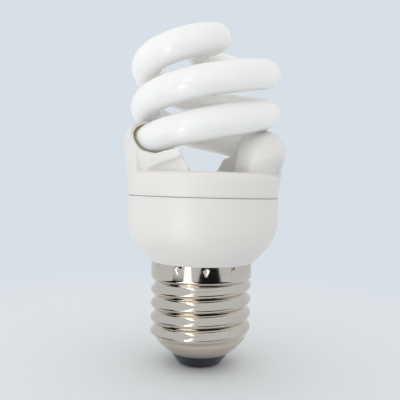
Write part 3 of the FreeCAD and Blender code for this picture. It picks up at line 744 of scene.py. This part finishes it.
@dataclass
class ScrewBase:
    """Rolled and staked screw shell, and the insulator at its tip."""

    crest: float = 13.15
    root: float = 12.13
    pitch: float = 3.629
    crest_height: float = 8.4
    thread_fade: tuple[float, float] = (2.0, 0.4)
    collar_radius: float = 13.15
    collar: float = 23.3
    collar_fade: float = 1.3
    top: float = 27.1
    rim_radius: float = 8.1
    rim: float = 3.5
    shoulder: float = 8.5
    bulge: float = 0.45
    sheet: float = 0.35
    ring: float = 0.25
    shoulder_steps: int = 24
    segments: int = 360
    shell_sharp: float = 50.0
    stakes: int = 12
    stake_height: float = 25.8
    stake_size: tuple[float, float] = (0.95, 1.9)
    stake_depth: float = 0.42
    stake_bearing: float = 5.0
    stake_point: float = 0.1
    stake_foot: float = 0.2
    stake_lip: float = 6.0
    tip_radius: float = 5.6
    tip_rounding: float = 1.0
    tip_steps: int = 8
    tip_segments: int = 128
    tip_sharp: float = 35.0
    contact_radius: float = 4.4
    contact_proud: float = 0.3
    contact_seat: float = 0.4
    wire_hole: float = 1.2
    flange_radius: float = 8.8
    flange_top: float = 6.2
    flange_side: float = 0.5

    def shell_stations(self) -> Outline:
        """Plain outline of the shell, before the thread is rolled.

        Returns:
            Points from its edge on the insulator up to the housing.
        """
        mean = (self.crest + self.root) / 2
        low, high = Vector((self.rim_radius, self.rim)), Vector((mean, self.shoulder))
        out = Vector((high.y - low.y, low.x - high.x)).normalized()
        points = []
        for index in range(self.shoulder_steps):
            share = index / self.shoulder_steps
            bulge = out * self.bulge * 4 * share * (1 - share)
            points.append(tuple(low.lerp(high, share) + bulge))
        count = round((self.top - self.shoulder) / self.ring)
        step = (self.top - self.shoulder) / count
        return points + [(mean, self.shoulder + step * index) for index in range(count + 1)]

    def rolled_radius(self, place: Vector) -> float:
        """Radius of the shell at a point.

        Args:
            place: a point of the plain shell.

        Returns:
            The radius with thread, collar and staking dents.
        """
        plain = math.hypot(place.x, place.y)
        bearing = math.atan2(place.y, place.x)
        phase = (place.z - self.crest_height) / self.pitch - (bearing - math.pi) / math.tau
        swing = (self.crest - self.root) / 2
        below, above = self.thread_fade
        share = smooth_step(self.shoulder - below, self.shoulder + above, place.z)
        radius = plain + swing * math.cos(math.tau * phase) * share
        collar = smooth_step(self.collar - self.collar_fade, self.collar, place.z)
        radius += (self.collar_radius - radius) * collar
        return radius - self.dent(bearing, place.z)

    def dent(self, bearing: float, height: float) -> float:
        """Depth of the staking dents, each a V that narrows downwards.

        Args:
            bearing: in radians.
            height: above the floor.

        Returns:
            How far the sheet is pushed in.
        """
        width, length = self.stake_size
        share = (height - self.stake_height + length / 2) / length
        if not 0.0 < share < 1.0:
            return 0.0
        pitch = math.tau / self.stakes
        turn = (bearing - math.radians(self.stake_bearing) + pitch / 2) % pitch - pitch / 2
        width *= self.stake_point + (1 - self.stake_point) * share
        groove = max(0.0, 1 - abs(turn) * self.collar_radius / width)
        slant = min(share + self.stake_foot, self.stake_lip * (1 - share))
        return self.stake_depth * groove * slant

    def build_shell(self) -> None:
        """Draws the plain shell up, rolls the thread, stakes the collar and thickens the sheet."""
        frames = [
            Matrix.Translation((0, 0, height * MM)) @ Matrix.Scale(radius * MM, 4)
            for radius, height in self.shell_stations()
        ]
        piece = lofted("screw_shell_threaded", frames, self.segments, capped=False)
        for vertex in piece.data.vertices:
            place = vertex.co / MM
            factor = self.rolled_radius(place) / math.hypot(place.x, place.y)
            vertex.co.x *= factor
            vertex.co.y *= factor
        apply_modifier(piece, "SOLIDIFY", thickness=self.sheet * MM, offset=-1.0)
        place_piece(piece, NICKEL, "screw_shell", self.shell_sharp)

    def build_insulator(self) -> None:
        """Turns the black tip with the recess for the contact."""
        low = self.contact_proud
        seat = low + self.contact_seat
        edge = self.rim_radius - self.sheet / 2
        flange = self.flange_top - self.flange_side
        way = math.atan2(self.rim - low, self.rim_radius - self.tip_radius)
        middle = self.tip_radius - self.tip_rounding * math.tan(way / 2)
        centre = (middle, low + self.tip_rounding)
        outline = [(self.contact_radius, seat), (self.contact_radius, low)]
        outline += arc(
            centre, self.tip_rounding, -90.0, math.degrees(way) - 90.0, self.tip_steps
        )
        outline += [(edge, self.rim), (edge, self.rim + 2 * self.sheet)]
        outline += [(self.flange_radius, flange), (self.flange_radius, self.flange_top)]
        outline += [(self.wire_hole, self.flange_top), (self.wire_hole, seat)]
        piece = lathed("black_insulator_tip", outline, self.tip_segments)
        place_piece(piece, BLACK_GLASS, "base_insulator", self.tip_sharp)

    def build(self) -> None:
        """Makes the shell and the insulator."""
        self.build_shell()
        self.build_insulator()


@dataclass
class BallastParts:
    """Finishes of the solids inside the housing, and of the contact at the tip."""

    finishes: dict[str, Finish] = field(default_factory=lambda: {
        "contact_metal": SOLDERED_BRASS,
        "board": PHENOLIC,
        "tinned_wire": TINNED_WIRE,
        "capacitor_sleeve": PVC_SLEEVE,
        "ferrite": FERRITE,
        "component_black": EPOXY,
        "copper": COPPER,
        "resistor_body": LACQUER,
        "film_capacitor": DIPPED_RESIN,
        "wire_sleeve": FIBRE_SLEEVE,
    })

    def dress(self) -> None:
        """Gives each carried-over solid the finish of its material slot."""
        made = {slot: finish.material() for slot, finish in self.finishes.items()}
        for row in frame["record"]["subparts"]:
            if row["material_slot"] in made:
                solid = frame["nodes"][row["node"]]
                solid.data.materials.clear()
                solid.data.materials.append(made[row["material_slot"]])
                LOG.info("%s: %s", row["node"], made[row["material_slot"]].name)


class Lamp(Enum):
    """Lamps round the object.

    Each has its place, its width and height, its power in watts and whether it only makes a glint.
    """

    KEY = ((-160.0, -156.0, 18.0), (80.0, 30.0), 0.072, False)
    BACK = ((-250.0, 450.0, 34.0), (300.0, 60.0), 0.36, False)
    GLINT = ((-47.0, -86.9, 28.4), (11.0, 26.0), 0.008, True)


class Card(Enum):
    """Cards that only mirror-like surfaces see.

    Each has its middle, its size, its tilt and turn, its shade and its glow.
    """

    FLOOR_RIGHT = ((62.0, -190.0, 0.5), (112.0, 330.0), (0.0, 18.0), "#16181A", 1.3)
    FLOOR_LEFT = ((-62.0, -52.0, 0.5), (60.0, 110.0), (0.0, -50.0), "#16181A", 1.3)
    TALL_PALE = ((-252.0, -494.0, 400.0), (130.0, 800.0), (90.0, -27.0), "#FFFFFF", 1.9)
    FLOOR_PALE = ((-116.0, -210.0, 0.6), (40.0, 400.0), (0.0, -29.0), "#FFFFFF", 1.9)


@dataclass
class Studio:
    """Pale floor and backdrop, soft lamps, cards that the metal mirrors, and the camera.

    The camera's pitch and roll are in radians, and its focal length is in pixels of the frame.
    """

    floor_shade: str = "#E3E7EB"
    floor_roughness: float = 0.8
    floor_reach: float = 8000.0
    floor_depth: float = 2.0
    floor_segments: int = 96
    floor_fade: tuple[float, float] = (50.0, 170.0)
    backdrop_shade: str = "#D8DFE7"
    sky_shade: str = "#FAF9F7"
    sky_light: float = 1.0
    target: Place = (0.0, 0.0, 45.0)
    camera_place: Place = (-0.81, -130.0, 45.98)
    camera_pitch: float = 0.0246
    camera_roll: float = 0.0257
    focal_px: float = 494.3
    frame_px: float = 400.0
    sensor: float = 36.0
    clip_start: float = 5.0

    @staticmethod
    def seen_directly(tree: bpy.types.NodeTree) -> bpy.types.NodeSocket:
        """Adds a switch for the rays that show a surface or its mirror image.

        Args:
            tree: node tree that takes the switch.

        Returns:
            Socket that is 1 for camera, glossy and transmission rays, otherwise 0.
        """
        path = add_node(tree, "ShaderNodeLightPath")
        seen = path.outputs["Is Camera Ray"]
        for ray in ("Is Glossy Ray", "Is Transmission Ray"):
            either = add_node(
                tree, "ShaderNodeMath", links={0: seen, 1: path.outputs[ray]}, operation="MAXIMUM"
            )
            seen = either.outputs[0]
        return seen

    def floor_material(self) -> bpy.types.Material:
        """Matt paper that fades into the backdrop further out.

        Returns:
            A material that keeps the shadow near the object.
        """
        made = bpy.data.materials.new("pale_paper")
        made.use_nodes = True
        tree = made.node_tree
        shader = tree.nodes["Principled BSDF"]
        shader.inputs["Base Color"].default_value = linear(self.floor_shade)
        shader.inputs["Roughness"].default_value = self.floor_roughness
        shader.inputs["Specular IOR Level"].default_value = 0.0
        near, far = self.floor_fade
        place = add_node(tree, "ShaderNodeTexCoord").outputs["Object"]
        distance = add_node(tree, "ShaderNodeVectorMath", links={0: place}, operation="LENGTH")
        fade = add_node(
            tree,
            "ShaderNodeMapRange",
            {"From Min": near * MM, "From Max": far * MM},
            {"Value": distance.outputs["Value"]},
            interpolation_type="SMOOTHSTEP",
        )
        share = add_node(
            tree,
            "ShaderNodeMath",
            links={0: fade.outputs["Result"], 1: self.seen_directly(tree)},
            operation="MULTIPLY",
        )
        glow = add_node(tree, "ShaderNodeEmission", {"Color": linear(self.backdrop_shade)})
        mix = add_node(
            tree,
            "ShaderNodeMixShader",
            links={0: share.outputs[0], 1: shader.outputs[0], 2: glow.outputs[0]},
        )
        tree.links.new(mix.outputs[0], tree.nodes["Material Output"].inputs["Surface"])
        return made

    def lay_floor(self) -> None:
        """Lays a round floor under the object."""
        reach, depth = self.floor_reach, self.floor_depth
        outline = [(0.0, 0.0), (self.floor_fade[1], 0.0), (reach, 0.0)]
        outline += [(reach, -depth), (0.0, -depth)]
        floor = lathed("floor", outline, self.floor_segments)
        floor.data.materials.append(self.floor_material())

    def set_card(self, card: Card) -> None:
        """Sets up a card in front of the object, with an even shade in the mirror.

        Args:
            card: the card to set up.
        """
        place, size, (tilt, turn), shade, strength = card.value
        deselect()
        bpy.ops.mesh.primitive_plane_add(size=1.0)
        sheet = bpy.context.object
        sheet.name = f"card_{card.name.lower()}"
        shape = Matrix.Diagonal((size[0] * MM, size[1] * MM, 1.0, 1.0))
        tilted = Matrix.Rotation(math.radians(tilt), 4, "X")
        turned = Matrix.Rotation(math.radians(turn), 4, "Z") @ tilted
        sheet.data.transform(Matrix.Translation(Vector(place) * MM) @ turned @ shape)
        made = bpy.data.materials.new(sheet.name)
        made.use_nodes = True
        tree = made.node_tree
        glow = add_node(tree, "ShaderNodeEmission", {"Color": linear(shade), "Strength": strength})
        tree.links.new(glow.outputs[0], tree.nodes["Material Output"].inputs["Surface"])
        sheet.data.materials.append(made)
        sheet.visible_camera = sheet.visible_diffuse = sheet.visible_shadow = False
        sheet.visible_transmission = sheet.visible_volume_scatter = False

    def light_world(self) -> None:
        """Even white light from all round, with the plain backdrop where it is seen."""
        world = bpy.data.worlds.new("studio")
        bpy.context.scene.world = world
        world.use_nodes = True
        tree = world.node_tree
        sky = tree.nodes["Background"]
        sky.inputs["Color"].default_value = linear(self.sky_shade)
        sky.inputs["Strength"].default_value = self.sky_light
        backdrop = add_node(tree, "ShaderNodeBackground", {"Color": linear(self.backdrop_shade)})
        mix = add_node(
            tree,
            "ShaderNodeMixShader",
            links={0: self.seen_directly(tree), 1: sky.outputs[0], 2: backdrop.outputs[0]},
        )
        tree.links.new(mix.outputs[0], tree.nodes["World Output"].inputs["Surface"])

    def hang(self, lamp: Lamp) -> None:
        """Hangs a lamp that faces the middle of the object and isn't seen itself.

        A glint lamp shows in glossy surfaces only, and the others light matt ones only.

        Args:
            lamp: the lamp to hang.
        """
        place, size, power, glint = lamp.value
        data = bpy.data.lights.new(lamp.name.lower(), "AREA")
        data.shape = "RECTANGLE"
        data.size = size[0] * MM
        data.size_y = size[1] * MM
        data.energy = power
        hung = bpy.data.objects.new(lamp.name.lower(), data)
        bpy.context.scene.collection.objects.link(hung)
        hung.visible_camera = False
        hung.visible_glossy = glint
        hung.visible_diffuse = not glint
        hung.location = Vector(place) * MM
        aim = Vector(self.target) * MM - hung.location
        hung.rotation_euler = aim.to_track_quat("-Z", "Y").to_euler()

    def set_camera(self) -> None:
        """Sets the camera at the photograph's viewing angle."""
        data = bpy.data.cameras.new("camera")
        data.sensor_width = self.sensor
        data.lens = self.focal_px / self.frame_px * self.sensor
        data.clip_start = self.clip_start * MM
        camera = bpy.data.objects.new("camera", data)
        bpy.context.scene.collection.objects.link(camera)
        pitched = Matrix.Rotation(math.pi / 2 - self.camera_pitch, 4, "X")
        turned = pitched @ Matrix.Rotation(self.camera_roll, 4, "Z")
        camera.matrix_world = Matrix.Translation(Vector(self.camera_place) * MM) @ turned
        bpy.context.scene.camera = camera

    def build(self) -> None:
        """Sets up floor, cards, world, lamps and camera."""
        bpy.context.scene.view_settings.view_transform = "Standard"
        self.lay_floor()
        for card in Card:
            self.set_card(card)
        self.light_world()
        for lamp in Lamp:
            self.hang(lamp)
        self.set_camera()


def main() -> None:
    """Builds the pieces in order, then the studio."""
    logging.basicConfig(level=logging.INFO, format="%(name)s: %(message)s")
    glass = GlassSpiral()
    glass.build()
    CementBond().build(glass)
    HoodedCover().build()
    BallastHousing().build()
    ScrewBase().build()
    BallastParts().dress()
    Studio().build()


if __name__ == "__main__":
    main()
